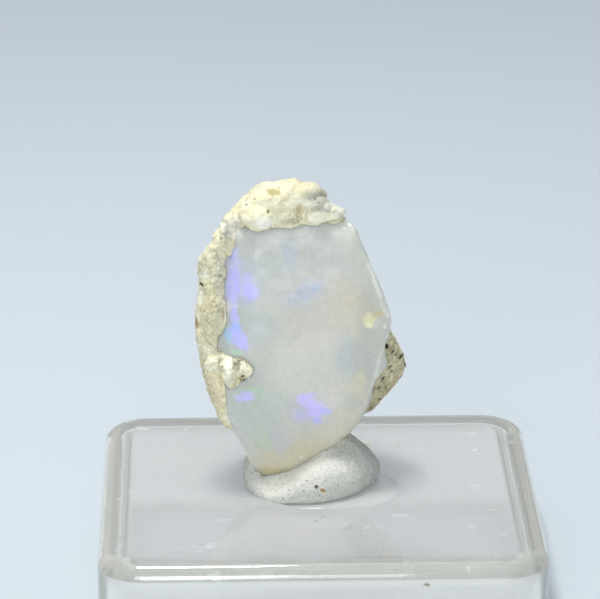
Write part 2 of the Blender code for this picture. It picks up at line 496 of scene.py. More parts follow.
    def spots(self, colour: Socket, space: Socket, spots: tuple[Spot, ...],
              thin: Socket | None = None) -> Socket:
        """Lays a row of spots over a colour.

        Args:
            colour: the colour so far.
            space: slab coordinates, in millimetres.
            spots: the spots, from the first to the uppermost.
            thin: what their shares are multiplied by, if anything.

        Returns:
            The colour that comes out.
        """
        for spot in spots:
            share = self.spot(space, spot)
            colour = self.layer(colour, spot.colour, share if thin is None else self.times(share, thin))
        return colour

    def bump(self, height: Socket, depth: float) -> Socket:
        """Normal of a surface with relief.

        Args:
            height: the relief, from 0 to 1.
            depth: its full height, in millimetres.

        Returns:
            The normal.
        """
        node = self.tree.nodes.new("ShaderNodeBump")
        self.put(node.inputs["Height"], height)
        self.put(node.inputs["Distance"], depth * MM)
        return node.outputs["Normal"]


VIOLET = (0.54, 0.53, 1.0)
BRIGHT_VIOLET = (0.64, 0.60, 1.0)
PALE_VIOLET = (0.57, 0.57, 0.93)
FAINT_VIOLET = (0.52, 0.53, 0.76)
BLUE = (0.40, 0.52, 1.0)
CYAN = (0.40, 0.62, 0.86)
GREEN = (0.47, 0.72, 0.52)
TEAL = (0.46, 0.54, 0.54)


@dataclass(frozen=True)
class OpalFinish:
    """Milky translucent opal with clouds and patches of spectral colour, painted glints, a painted paler
    band under the dome and a painted glow along its thin right rim.
    """

    body: Triple = (0.56, 0.58, 0.54)
    warm: Triple = (0.60, 0.575, 0.51)
    warm_patches: Patches = Patches(Clouds(5.0), 0.45, 0.75, 0.0, 0.6)
    cool: Triple = (0.50, 0.55, 0.555)
    cool_patches: Patches = Patches(Clouds(3.2), 0.5, 0.8, 0.0, 0.6)
    mottle: Patches = Patches(Clouds(0.38, 3.0), 0.35, 0.65, 0.965, 1.02)
    flakes: Patches = Patches(Clouds(0.30), 0.30, 0.60, 0.72, 1.0)
    fleck: Triple = (0.74, 0.76, 0.70)
    flecks: Patches = Patches(Clouds(0.42, 3.0), 0.52, 0.70)
    fleck_share: float = 0.25
    near_rock: Limits = (-1.6, -3.2)  # of u
    near_top: Limits = (17.3, 18.4)  # of w
    soft: Wobble = Wobble(1.6, 0.8)
    ragged: Wobble = Wobble(0.55, 0.26)
    roughness: Patches = Patches(Clouds(0.9), 0.3, 0.7, 0.28, 0.50)
    refraction: float = 1.45
    glow: float = 0.85
    glow_tint: Triple = (1.0, 0.94, 0.86)
    glow_depth: float = 2.4
    ripples: Clouds = Clouds(0.30, 3.0)
    ripple_height: float = 0.012
    clouds: tuple[Spot, ...] = (
        Spot((1.5, 17.0, 0.5), (5.5, 1.4, 3.0), (0.52, 0.53, 0.495), 0.8, 0.9),
        # a paler band just under the dome: painted light that fills the dome's shade on the opal
        Spot((1.6, 18.3, 0.3), (4.6, 0.50, 2.0), (0.68, 0.69, 0.64), 0.8, 0.7, 2.0),
        Spot((2.5, 10.5, 0.9), (3.2, 3.0, 2.5), (0.60, 0.58, 0.53), 0.55, 0.9),
        Spot((5.7, 12.6, 0.7), (1.5, 1.7, 2.0), (0.62, 0.58, 0.48), 0.7, 0.8),
        Spot((5.2, 14.2, 0.7), (0.9, 0.6, 2.0), (0.62, 0.58, 0.49), 0.5, 0.8),
        Spot((5.75, 13.1, 0.9), (0.30, 0.32, 1.0), (0.68, 0.61, 0.47), 0.45, 0.7),
        Spot((6.1, 11.0, 0.9), (0.45, 0.50, 1.0), (0.64, 0.60, 0.49), 0.5, 0.8),
        Spot((6.3, 7.0, 0.9), (0.75, 0.95, 2.0), (0.70, 0.67, 0.50), 0.8, 0.6, 10.0),
        Spot((5.4, 4.4, 0.0), (2.2, 1.8, 2.5), (0.63, 0.60, 0.48), 0.75, 0.8),
        Spot((8.0, 10.4, 0.3), (0.7, 3.5, 2.0), (0.64, 0.65, 0.56), 0.6, 0.8),
        Spot((7.2, 15.4, 0.0), (0.9, 3.0, 2.0), (0.58, 0.61, 0.52), 0.6, 0.8, 22.0),
        # the four pale lines along the thin right rim: painted glow of the translucent edge
        Spot((7.65, 14.2, -0.5), (0.20, 3.2, 1.2), (0.84, 0.85, 0.79), 0.65, 0.6, 20.0),
        Spot((8.65, 11.2, -0.5), (0.18, 1.4, 1.2), (0.84, 0.85, 0.78), 0.5, 0.6),
        Spot((7.8, 8.0, -0.5), (0.18, 2.4, 1.2), (0.82, 0.83, 0.75), 0.55, 0.6, -17.0),
        Spot((6.4, 4.9, -0.5), (0.18, 2.2, 1.2), (0.78, 0.78, 0.68), 0.5, 0.6, -33.0),
        Spot((1.5, 5.2, 0.5), (4.5, 3.0, 2.5), (0.67, 0.66, 0.59), 0.6, 0.9),
        Spot((2.2, 1.1, -0.3), (4.2, 1.5, 2.0), (0.64, 0.58, 0.42), 0.85, 0.8, 18.0),
        Spot((0.6, -0.1, -0.5), (2.0, 0.5, 1.5), (0.52, 0.46, 0.25), 0.85, 0.6, 8.0),
        Spot((4.6, 2.0, -0.3), (2.6, 0.35, 1.5), (0.66, 0.63, 0.44), 0.7, 0.6, 34.0),
        Spot((2.6, 0.55, -0.5), (2.2, 0.14, 1.5), (0.44, 0.39, 0.22), 0.75, 0.6, 28.0),
        Spot((-1.0, 11.2, 1.0), (1.1, 1.1, 2.0), TEAL, 0.75, 0.7),
        Spot((1.2, 16.4, 1.0), (0.55, 1.2, 2.0), (0.48, 0.53, 0.60), 0.75, 0.7),
        Spot((-0.6, 16.0, 1.0), (1.4, 1.3, 2.0), (0.55, 0.60, 0.59), 0.5, 0.8),
        Spot((2.5, 13.8, 1.0), (1.4, 0.6, 2.0), (0.50, 0.54, 0.64), 0.75, 0.8, 16.0),
        Spot((3.2, 14.0, 1.0), (0.42, 0.26, 1.0), (0.44, 0.52, 0.68), 0.5, 0.7, 20.0),
        Spot((5.5, 9.2, 1.0), (0.55, 1.6, 2.0), (0.48, 0.53, 0.55), 0.65, 0.8),
        Spot((5.7, 5.6, 1.0), (0.7, 0.7, 2.0), (0.52, 0.55, 0.56), 0.45, 0.8),
        Spot((-3.5, 10.0, 0.3), (0.55, 1.1, 1.5), (0.47, 0.50, 0.46), 0.8, 0.6),
        Spot((-3.5, 13.0, 0.1), (0.4, 1.2, 1.5), (0.50, 0.52, 0.52), 0.7, 0.6),
        Spot((-2.0, 12.0, 0.5), (1.6, 6.0, 2.5), (0.50, 0.52, 0.47), 0.7, 0.8),
        Spot((-1.2, 4.4, 0.5), (1.8, 1.3, 2.5), (0.52, 0.60, 0.57), 0.65, 0.8),
        Spot((0.4, 5.6, 1.0), (1.1, 0.8, 2.0), (0.56, 0.64, 0.60), 0.5, 0.8),
        Spot((-0.5, 2.7, 0.0), (0.6, 0.8, 1.5), (0.54, 0.66, 0.53), 0.5, 0.8),
        Spot((0.6, 2.6, 0.0), (0.7, 1.1, 1.5), (0.56, 0.57, 0.62), 0.6, 0.7, 10.0),
    )
    flashes: tuple[Spot, ...] = (
        Spot((-2.0, 14.3, 0.6), (1.2, 1.4, 1.5), FAINT_VIOLET, 0.50, 0.9),
        Spot((-2.0, 13.9, 0.6), (0.8, 0.7, 1.5), PALE_VIOLET, 0.45, 0.8, -12.0),
        Spot((-2.6, 15.6, 0.4), (0.50, 0.95, 1.5), PALE_VIOLET, 0.65, 0.7),
        Spot((-2.7, 16.6, -0.1), (0.36, 0.62, 1.2), VIOLET, 0.75, 0.5, 12.0),
        Spot((-2.72, 14.2, 0.4), (0.50, 1.15, 1.2), VIOLET, 1.0, 0.4, -3.0),
        Spot((-2.75, 12.9, 0.45), (0.36, 0.55, 1.2), PALE_VIOLET, 0.8, 0.6),
        Spot((-1.4, 13.75, 1.0), (0.52, 0.52, 1.0), VIOLET, 0.85, 0.6, -20.0),
        Spot((-1.6, 14.6, 0.9), (0.36, 0.6, 1.0), PALE_VIOLET, 0.6, 0.7, 14.0),
        Spot((-2.62, 11.9, 0.55), (0.24, 0.75, 1.2), VIOLET, 0.85, 0.5),
        Spot((-1.7, 10.9, 0.9), (0.9, 1.2, 1.5), FAINT_VIOLET, 0.15, 0.9),
        Spot((-3.05, 10.5, 0.5), (0.26, 0.62, 1.0), CYAN, 0.8, 0.6, 16.0),
        Spot((-2.6, 10.95, 0.7), (0.40, 0.55, 1.2), BLUE, 0.9, 0.5, 8.0),
        Spot((-2.3, 10.3, 0.9), (0.52, 0.62, 1.2), VIOLET, 1.0, 0.4, 24.0),
        Spot((-2.0, 9.85, 0.9), (0.36, 0.36, 1.0), VIOLET, 0.9, 0.5),
        Spot((-2.5, 9.3, 0.8), (0.50, 0.20, 0.8), GREEN, 0.65, 0.6, -8.0),
        Spot((-1.6, 6.35, 0.9), (1.05, 0.42, 1.0), GREEN, 0.5, 0.7, 10.0),
        Spot((-1.95, 6.0, 0.75), (0.66, 0.38, 1.0), BRIGHT_VIOLET, 1.0, 0.4, 8.0),
        Spot((2.9, 5.1, 0.9), (1.3, 1.0, 1.2), FAINT_VIOLET, 0.45, 0.9),
        Spot((2.55, 5.75, 1.1), (0.66, 0.44, 1.0), BRIGHT_VIOLET, 0.95, 0.5, -24.0),
        Spot((3.0, 6.2, 1.1), (0.24, 0.22, 0.8), PALE_VIOLET, 0.7, 0.5),
        Spot((3.2, 5.05, 1.0), (0.60, 0.62, 1.0), BRIGHT_VIOLET, 1.0, 0.45, -40.0),
        Spot((3.95, 5.0, 1.1), (0.42, 0.26, 0.8), PALE_VIOLET, 0.85, 0.5, -10.0),
        Spot((3.35, 4.25, 0.9), (0.40, 0.26, 0.8), PALE_VIOLET, 0.8, 0.5),
        Spot((2.2, 4.6, 0.9), (0.55, 0.50, 0.8), PALE_VIOLET, 0.40, 0.8),
        Spot((8.2, 6.4, -1.4), (1.2, 0.8, 0.8), CYAN, 0.6, 0.5),
        Spot((8.7, 12.0, -1.3), (1.0, 1.2, 0.7), GREEN, 0.5, 0.6),
        Spot((6.9, 16.8, -1.2), (0.9, 0.9, 0.8), PALE_VIOLET, 0.6, 0.5),
        Spot((4.2, 2.2, -1.8), (1.2, 0.6, 0.9), BLUE, 0.5, 0.6),
    )
    inclusions_and_painted_glints: tuple[Spot, ...] = (
        Spot((7.15, 11.55, 0.7), (0.52, 0.56, 0.8), (0.78, 0.74, 0.52), 1.0, 0.35),
        Spot((7.2, 11.2, 0.7), (0.34, 0.22, 0.6), (0.88, 0.86, 0.64), 0.9, 0.35),
        Spot((7.85, 11.95, 0.45), (0.34, 0.22, 0.6), (0.66, 0.58, 0.33), 0.85, 0.4),
        Spot((8.3, 11.0, 0.2), (0.10, 0.16, 0.4), (0.86, 0.86, 0.76), 0.9, 0.4),
        Spot((7.7, 11.2, 0.5), (0.22, 0.22, 0.5), (0.70, 0.68, 0.66), 0.6, 0.5),
        Spot((-3.1, 12.6, 0.3), (0.28, 0.34, 0.6), (0.70, 0.68, 0.68), 0.8, 0.4),
        Spot((-2.55, 12.72, 0.6), (0.30, 0.09, 0.5), (0.72, 0.72, 0.68), 0.5, 0.6, 6.0),
        Spot((-2.0, 16.7, -0.2), (0.20, 0.20, 0.6), (0.72, 0.74, 0.72), 0.6, 0.5),
        Spot((2.2, 1.3, 0.0), (0.16, 0.10, 0.5), (0.80, 0.82, 0.76), 0.6, 0.6),
        # two white dots near the top right: painted glints
        Spot((5.8, 18.55, 0.2), (0.13, 0.11, 0.4), (1.0, 1.0, 1.0), 1.0, 0.4),
        Spot((5.45, 18.3, 0.45), (0.09, 0.08, 0.4), (0.95, 0.98, 1.0), 0.9, 0.4),
    )

    def make(self) -> bpy.types.Material:
        """Builds the material.

        Returns:
            The material.
        """
        g = Graph("milky_opal")
        space = g.slab_space()
        soft = g.wobble(space, self.soft)
        ragged = g.wobble(space, self.ragged)
        colour = g.layer(self.body, self.warm, g.patches(space, self.warm_patches))
        colour = g.layer(colour, self.cool, g.patches(soft, self.cool_patches))
        colour = g.spots(colour, soft, self.clouds)
        colour = g.spots(colour, ragged, self.flashes, g.patches(space, self.flakes))
        colour = g.spots(colour, ragged, self.inclusions_and_painted_glints)
        beside_rock = g.ramp(g.part(space, Axis.X), *self.near_rock)
        under_clay = g.ramp(g.part(space, Axis.Z), *self.near_top)
        flecks = g.times(g.patches(space, self.flecks), g.largest(beside_rock, under_clay))
        colour = g.layer(colour, self.fleck, g.times(flecks, self.fleck_share))
        g.set("Base Color", g.scaled(colour, g.patches(space, self.mottle)))
        g.set("Roughness", g.patches(space, self.roughness))
        g.set("IOR", self.refraction)
        g.set("Subsurface Weight", self.glow)
        g.set("Subsurface Radius", self.glow_tint)
        g.set("Subsurface Scale", self.glow_depth * MM)
        g.set("Normal", g.bump(g.grain(space, self.ripples), self.ripple_height))
        return g.material


@dataclass(frozen=True)
class RockFinish:
    """Chalky host rock: cream with white clay in front, pitted behind, where its darker tan-grey is partly
    the rock's own tone and partly painted shade.
    """

    cream: Triple = (0.80, 0.75, 0.52)
    pale: Triple = (0.88, 0.86, 0.66)
    pale_patches: Patches = Patches(Clouds(1.1, 4.0), 0.42, 0.68)
    ochre: Triple = (0.66, 0.58, 0.34)
    ochre_patches: Patches = Patches(Clouds(1.7, 4.0), 0.56, 0.76, 0.0, 0.6)
    behind: Limits = (1.4, 3.0)  # of -n
    # the rear's darker tan-grey is partly painted shade on the same rock as in front
    rear_with_painted_shade: Triple = (0.57, 0.52, 0.34)
    rear_pale: Triple = (0.80, 0.74, 0.51)
    streaks: Patches = Patches(Clouds(1.0, 4.0), 0.42, 0.66)
    streak_turn: Triple = (0.0, -0.6, 0.0)
    streak_size: Triple = (1.6, 0.5, 0.4)
    crevice: Triple = (0.34, 0.28, 0.16)
    crevices: Cracks = Cracks(1.1, 0.035)
    creviced: Patches = Patches(Clouds(1.5), 0.45, 0.6)
    crevice_share: float = 0.5
    speck: Triple = (0.09, 0.085, 0.06)
    pepper: Dots = Dots(0.55, 0.20, 0.12)
    peppered: Patches = Patches(Clouds(1.9), 0.46, 0.6)
    pepper_shares: Limits = (0.30, 0.9)  # in front and behind
    dome: Limits = (17.8, 19.0)
    dust: Clouds = Clouds(0.20, 3.0, 0.7)
    dust_step: Limits = (0.35, 0.65)
    dust_dark: Limits = (0.83, 0.88)  # below the dome and on it
    dust_light: Limits = (1.11, 1.02)
    roughness: float = 0.92
    specular: float = 0.25
    relief: Clouds = Clouds(0.17, 4.0, 0.7)
    relief_shares: Limits = (1.0, 0.55)  # below the dome and on it
    relief_height: float = 0.10
    ragged: Wobble = Wobble(0.5, 0.22)
    fine: Wobble = Wobble(0.25, 0.06)
    zones: tuple[Spot, ...] = (
        Spot((3.5, 20.4, 0.2), (1.1, 0.9, 2.0), (0.44, 0.45, 0.38), 0.85, 0.5, -35.0),
        Spot((-2.75, 18.4, 0.3), (0.75, 0.9, 1.2), (0.60, 0.61, 0.55), 0.85, 0.5, -30.0),
        Spot((-5.0, 15.6, 0.2), (0.5, 0.7, 1.5), (0.55, 0.55, 0.42), 0.6, 0.6),
        Spot((-4.5, 12.3, 0.4), (0.8, 2.2, 1.5), (0.66, 0.62, 0.40), 0.7, 0.5),
        Spot((-4.2, 5.5, 0.3), (0.9, 2.4, 2.0), (0.86, 0.78, 0.53), 0.8, 0.5),
        Spot((5.2, 19.6, 0.2), (0.7, 0.5, 1.2), (0.64, 0.66, 0.60), 0.6, 0.5),
    )
    clay: tuple[Spot, ...] = (
        Spot((-4.1, 8.45, 1.0), (0.62, 0.62, 1.0), (0.84, 0.82, 0.63), 0.85, 0.25),
        Spot((-3.08, 8.1, 1.1), (0.64, 0.86, 1.0), (0.93, 0.92, 0.74), 1.0, 0.2),
        Spot((-1.95, 8.1, 1.0), (0.66, 0.50, 0.8), (0.88, 0.86, 0.68), 0.9, 0.25, -30.0),
        Spot((-0.35, 18.78, 1.1), (0.75, 0.52, 1.0), (1.0, 0.99, 0.85), 1.0, 0.3),
        Spot((3.6, 19.15, 1.0), (0.85, 0.50, 1.0), (1.0, 0.97, 0.76), 1.0, 0.35),
        Spot((4.8, 19.3, 0.8), (0.68, 0.26, 0.9), (0.90, 0.90, 0.72), 0.9, 0.35, 15.0),
        Spot((4.2, 19.95, 0.6), (0.36, 0.24, 0.9), (0.86, 0.87, 0.74), 0.8, 0.4, -30.0),
        Spot((-4.67, 15.0, 0.6), (0.16, 0.36, 0.8), (0.90, 0.89, 0.73), 0.9, 0.35),
        Spot((-5.0, 13.1, -0.7), (0.26, 0.62, 0.6), (0.90, 0.89, 0.73), 0.95, 0.3),
        Spot((-5.25, 9.9, -0.4), (0.16, 0.5, 1.2), (0.86, 0.85, 0.70), 0.7, 0.4),
        Spot((-3.8, 16.9, 0.6), (0.17, 0.9, 1.4), (0.88, 0.86, 0.64), 0.9, 0.35),
        Spot((-3.6, 15.3, 0.6), (0.24, 0.6, 1.2), (0.88, 0.86, 0.64), 0.9, 0.35),
        Spot((-3.3, 18.7, 0.5), (0.16, 0.28, 0.8), (0.86, 0.84, 0.64), 0.9, 0.35, -20.0),
        Spot((-4.0, 18.2, 0.6), (0.24, 0.16, 0.8), (0.84, 0.83, 0.66), 0.9, 0.35, 35.0),
    )
    stains: tuple[Spot, ...] = (
        Spot((0.29, 21.05, 0.7), (0.50, 0.26, 1.2), (0.50, 0.45, 0.22), 0.9, 0.25, -8.0),
        Spot((-5.3, 11.2, -1.3), (0.30, 0.52, 0.5), (0.42, 0.27, 0.10), 0.9, 0.35),
        Spot((-5.24, 11.2, -1.3), (0.13, 0.30, 0.5), (0.66, 0.52, 0.28), 0.8, 0.4),
        Spot((2.2, 19.75, 1.0), (0.22, 0.42, 0.8), (0.56, 0.47, 0.28), 0.7, 0.5, 20.0),
        Spot((2.25, 21.4, -1.1), (0.30, 0.18, 1.6), (0.56, 0.46, 0.24), 0.6, 0.5),
        Spot((-3.54, 14.9, 0.6), (0.22, 0.13, 0.6), (0.36, 0.32, 0.18), 0.8, 0.4),
        Spot((-3.45, 12.0, 0.4), (0.12, 0.42, 0.6), (0.42, 0.34, 0.20), 0.7, 0.4),
        Spot((-4.95, 12.2, -0.2), (0.06, 0.34, 0.8), (0.44, 0.37, 0.22), 0.6, 0.4, 20.0),
        Spot((-4.45, 11.45, 0.5), (0.06, 0.48, 0.8), (0.44, 0.37, 0.22), 0.65, 0.4, 48.0),
        Spot((-4.4, 9.85, 0.2), (0.06, 0.50, 0.8), (0.44, 0.37, 0.22), 0.65, 0.4, 40.0),
        Spot((1.4, 18.9, 0.9), (0.9, 0.22, 0.6), (0.48, 0.46, 0.34), 0.6, 0.5, 10.0),
        Spot((4.1, 18.72, 0.6), (0.8, 0.10, 0.6), (0.40, 0.38, 0.26), 0.7, 0.5, 14.0),
    )
    specks: tuple[Spot, ...] = (
        Spot((-4.98, 14.08, -0.85), (0.26, 0.11, 0.5), (0.09, 0.07, 0.04), 1.0, 0.25, -10.0),
        Spot((-0.13, 19.68, 1.0), (0.10, 0.16, 0.8), (0.20, 0.19, 0.12), 0.9, 0.35),
        Spot((-1.67, 20.07, -0.2), (0.12, 0.08, 1.4), (0.34, 0.32, 0.26), 0.8, 0.4),
        Spot((-1.07, 20.52, -0.2), (0.11, 0.08, 1.4), (0.36, 0.34, 0.24), 0.8, 0.4),
        Spot((0.68, 21.3, -0.4), (0.10, 0.08, 1.4), (0.36, 0.35, 0.28), 0.8, 0.4),
        Spot((-3.52, 17.7, 0.9), (0.09, 0.09, 0.5), (0.28, 0.26, 0.16), 0.9, 0.35),
        Spot((3.25, 20.55, 0.6), (0.10, 0.10, 0.6), (0.22, 0.22, 0.18), 0.9, 0.35),
        Spot((3.5, 20.3, 0.9), (0.11, 0.09, 0.6), (0.26, 0.25, 0.20), 0.8, 0.35),
        Spot((8.53, 9.06, -2.3), (0.17, 0.20, 0.5), (0.02, 0.02, 0.015), 1.0, 0.4),
        Spot((9.0, 8.6, -2.7), (0.10, 0.20, 0.5), (0.10, 0.10, 0.07), 0.9, 0.4, -30.0),
        Spot((9.2, 8.35, -2.8), (0.12, 0.08, 0.5), (0.14, 0.13, 0.09), 0.8, 0.5),
        Spot((9.7, 8.1, -3.4), (0.30, 0.12, 0.6), (0.05, 0.05, 0.04), 1.0, 0.4, 40.0),
        Spot((10.1, 7.6, -3.8), (0.16, 0.34, 0.6), (0.03, 0.03, 0.02), 1.0, 0.4, -25.0),
        Spot((8.8, 7.4, -2.8), (0.22, 0.09, 0.5), (0.12, 0.11, 0.07), 0.8, 0.5, 40.0),
        Spot((8.95, 7.1, -3.0), (0.10, 0.10, 0.5), (0.10, 0.09, 0.06), 0.8, 0.5),
        Spot((8.3, 6.6, -2.6), (0.09, 0.22, 0.5), (0.07, 0.06, 0.04), 0.9, 0.4, -35.0),
        Spot((8.0, 5.85, -2.8), (0.16, 0.08, 0.5), (0.09, 0.08, 0.05), 0.9, 0.4, 50.0),
        Spot((8.5, 5.8, -3.2), (0.08, 0.16, 0.5), (0.14, 0.12, 0.07), 0.8, 0.5),
        Spot((8.06, 4.85, -3.5), (0.12, 0.08, 0.5), (0.10, 0.09, 0.05), 0.9, 0.4, 30.0),
        Spot((7.4, 4.2, -3.4), (0.08, 0.20, 0.6), (0.16, 0.14, 0.08), 0.8, 0.5, -40.0),
    )

    def make(self) -> bpy.types.Material:
        """Builds the material.

        Returns:
            The material.
        """
        g = Graph("host_rock")
        space = g.slab_space()
        height = g.part(space, Axis.Z)
        ragged = g.wobble(space, self.ragged)
        fine = g.wobble(space, self.fine)
        behind = g.ramp(g.part(ragged, Axis.Y), *self.behind)
        front = g.layer(self.cream, self.pale, g.patches(space, self.pale_patches))
        front = g.layer(front, self.ochre, g.patches(ragged, self.ochre_patches))
        streaked = g.placed(space, NONE, self.streak_turn, self.streak_size)
        # the rear colour, darker behind the opal: partly painted shade
        rear_with_painted_shade = g.layer(self.rear_with_painted_shade, self.rear_pale, g.patches(streaked, self.streaks))
        colour = g.spots(g.layer(front, rear_with_painted_shade, behind), ragged, self.zones + self.clay)
        crevices = g.times(g.cracks(ragged, self.crevices), g.patches(space, self.creviced))
        colour = g.layer(colour, self.crevice, g.times(crevices, self.crevice_share))
        colour = g.spots(colour, ragged, self.stains)
        pepper = g.times(g.dots(fine, self.pepper), g.patches(space, self.peppered))
        colour = g.layer(colour, self.speck, g.times(pepper, g.between(behind, *self.pepper_shares)))
        colour = g.spots(colour, fine, self.specks)
        dark = g.ramp(height, *self.dome, *self.dust_dark)
        light = g.ramp(height, *self.dome, *self.dust_light)
        dust = g.ramp(g.grain(space, self.dust), *self.dust_step, dark, light)
        relief = g.times(g.grain(space, self.relief), g.ramp(height, *self.dome, *self.relief_shares))
        g.set("Base Color", g.scaled(colour, dust))
        g.set("Roughness", self.roughness)
        g.set("Specular IOR Level", self.specular)
        g.set("Normal", g.bump(relief, self.relief_height))
        return g.material


@dataclass(frozen=True)
class PuttyFinish:
    """Soft white putty, speckled with dark grains."""

    white: Triple = (0.82, 0.83, 0.765)
    grey: Triple = (0.56, 0.57, 0.51)
    grey_patches: Patches = Patches(Clouds(0.17, 4.0, 0.7), 0.46, 0.66, 0.0, 0.8)
    speck: Triple = (0.12, 0.12, 0.10)
    dots: Dots = Dots(0.36, 0.21, 0.08, 0.95)
    dotted: Patches = Patches(Clouds(0.5), 0.46, 0.56)
    dust: Dots = Dots(0.19, 0.26, 0.08, 0.5)
    dust_wobble: Wobble = Wobble(0.1, 0.04)
    fine: Wobble = Wobble(0.2, 0.05)
    roughness: float = 0.8
    specular: float = 0.3
    relief: Clouds = Clouds(0.14, 4.0, 0.8)
    relief_height: float = 0.16
    grains: tuple[Spot, ...] = (
        Spot((3.2, -0.34, 2.46), (0.13, 0.13, 0.8), (0.10, 0.08, 0.06), 0.95, 0.3),
        Spot((3.69, -0.64, 2.4), (0.19, 0.12, 0.8), (0.50, 0.26, 0.05), 0.95, 0.3, -25.0),
    )

    def make(self) -> bpy.types.Material:
        """Builds the material.

        Returns:
            The material.
        """
        g = Graph("mounting_putty")
        space = g.slab_space()
        fine = g.wobble(space, self.fine)
        colour = g.layer(self.white, self.grey, g.patches(space, self.grey_patches))
        dots = g.times(g.dots(fine, self.dots), g.patches(space, self.dotted))
        colour = g.layer(colour, self.speck, dots)
        colour = g.layer(colour, self.speck, g.dots(g.wobble(space, self.dust_wobble), self.dust))
        g.set("Base Color", g.spots(colour, fine, self.grains))
        g.set("Roughness", self.roughness)
        g.set("Specular IOR Level", self.specular)
        g.set("Normal", g.bump(g.grain(space, self.relief), self.relief_height))
        return g.material


@dataclass(frozen=True)
class ClearPlasticFinish:
    """Clear moulded plastic with a hazy, handled surface, and a painted reflection line on the top in front
    of the putty.
    """

    tint: Triple = (0.99, 0.995, 0.99)
    thick: Triple = (0.93, 0.93, 0.84)
    thick_shares: Limits = (1.0, 0.3)  # at the top's edge and in the wall
    clear_shares: Limits = (0.84, 0.1)  # without haze and in full haze
    roughnesses: Limits = (0.05, 0.25)
    refraction: float = 1.49
    top_haze: float = 0.22
    edge_haze: float = 0.36
    front_edge_haze: float = 0.12
    wall_haze: float = 0.24
    front_wall_haze: float = 0.46
    half_side: float = 16.0
    edge: Limits = (2.6, 0.6)  # in from the outline, where the edge's band starts and where it is full
    wall_top: Limits = (6.55, 6.3)  # heights where the wall starts and where it is full
    smear: Patches = Patches(Clouds(3.5, 5.0, 0.62), 0.45, 0.75)
    smear_haze: float = 0.38
    smear_roughness: float = 0.5
    hairs: Cracks = Cracks(1.3, 0.012)
    hair_wobble: Wobble = Wobble(2.5, 1.2)
    haired: Patches = Patches(Clouds(2.2), 0.5, 0.6)
    hair_haze: float = 0.18
    residue: Triple = (0.6, -0.7, 7.5)
    residue_half: Triple = (5.6, 4.5, 1.0)
    residue_wobble: Wobble = Wobble(3.0, 0.6)
    residue_edge: Limits = (1.22, 0.85)
    residue_haze: float = 0.36
    mark_wobble: Wobble = Wobble(0.5, 0.2)
    mark_edge: Limits = (1.2, 0.7)
    marks_and_painted_reflection: tuple[Mark, ...] = (
        Mark((3.6, 8.6, 7.5), (0.75, 0.30, 0.4), (0.52, 0.44, 0.32)),
        Mark((6.3, 8.7, 7.5), (0.22, 0.22, 0.4), (0.50, 0.47, 0.38)),
        Mark((12.5, -5.4, 7.5), (0.35, 0.16, 0.4), (0.52, 0.50, 0.44)),
        # a bright line on the top in front of the putty: a painted reflection of light on the plate, laid on
        # as white haze
        Mark((-0.6, -4.75, 7.5), (1.0, 0.08, 0.4), (0.84, 0.85, 0.83)),
        Mark((7.1, -16.0, 6.0), (0.22, 0.4, 0.12), (0.30, 0.27, 0.22)),
        Mark((-15.3, -16.0, 5.7), (0.3, 0.5, 0.12), (0.95, 0.95, 0.92)),
    )

    def make(self) -> bpy.types.Material:
        """Builds the material.

        Returns:
            The material.
        """
        g = Graph("clear_plastic")
        space = g.box_space()
        edge = g.ramp(self.inset(g, space), *self.edge)
        wall = g.ramp(g.part(space, Axis.Z), *self.wall_top)
        front = g.ramp(g.part(space, Axis.Y), *(limit - self.half_side for limit in self.edge))
        smear = g.patches(space, self.smear)
        hairs = g.cracks(g.wobble(space, self.hair_wobble), self.hairs)
        hairs = g.times(hairs, g.patches(space, self.haired))
        film = g.away(g.wobble(space, self.residue_wobble), self.residue, self.residue_half)
        residue = g.ramp(film, *self.residue_edge)
        milky = g.between(wall, g.between(front, self.edge_haze, self.front_edge_haze),
                          g.between(front, self.wall_haze, self.front_wall_haze))
        haze = g.largest(g.times(smear, self.smear_haze), g.times(residue, self.residue_haze),
                         g.times(hairs, self.hair_haze), g.times(edge, milky),
                         g.between(edge, self.top_haze, 0.0))
        colour = g.layer(self.tint, self.thick, g.times(edge, g.between(wall, *self.thick_shares)))
        ragged = g.wobble(space, self.mark_wobble)
        for mark in self.marks_and_painted_reflection:
            there = g.ramp(g.away(ragged, mark.centre, mark.half), *self.mark_edge)
            colour = g.layer(colour, mark.colour, there)
            haze = g.largest(haze, there)
        dull = g.largest(g.times(smear, self.smear_roughness), residue)
        g.set("Base Color", colour)
        g.set("Transmission Weight", g.between(haze, *self.clear_shares))
        g.set("Roughness", g.between(dull, *self.roughnesses))
        g.set("IOR", self.refraction)
        return g.material

    def inset(self, g: Graph, space: Socket) -> Socket:
        """How far each place lies inside the box's plan outline.

        Args:
            g: the material's graph.
            space: the box's coordinates, in millimetres.

        Returns:
            The distance in millimetres, 0 at the outline.
        """
        core = self.half_side - BOX_CORNER
        out = [g.sum(Sum.MINUS, g.sum(Sum.SIZE, g.part(space, axis)), core) for axis in (Axis.X, Axis.Y)]
        squares = [g.sum(Sum.POWER, g.largest(distance, 0.0), 2.0) for distance in out]
        round_part = g.sum(Sum.ROOT, g.sum(Sum.PLUS, *squares))
        flat_part = g.sum(Sum.SMALLER, g.largest(*out), 0.0)
        return g.sum(Sum.MINUS, BOX_CORNER, g.sum(Sum.PLUS, round_part, flat_part))


@dataclass(frozen=True)
class FloorFinish:
    """Smooth pale blue-grey studio floor."""

    colour: Triple = (0.55, 0.605, 0.655)
    roughness: float = 0.7

    def make(self) -> bpy.types.Material:
        """Builds the material.

        Returns:
            The material.
        """
        g = Graph("studio_floor")
        g.set("Base Color", self.colour)
        g.set("Roughness", self.roughness)
        return g.material


def step(values: np.ndarray, low: float, high: float) -> np.ndarray:
    """Smooth step from 0 at low to 1 at high."""
    t = np.clip((values - low) / (high - low), 0.0, 1.0)
    return t * t * (3.0 - 2.0 * t)


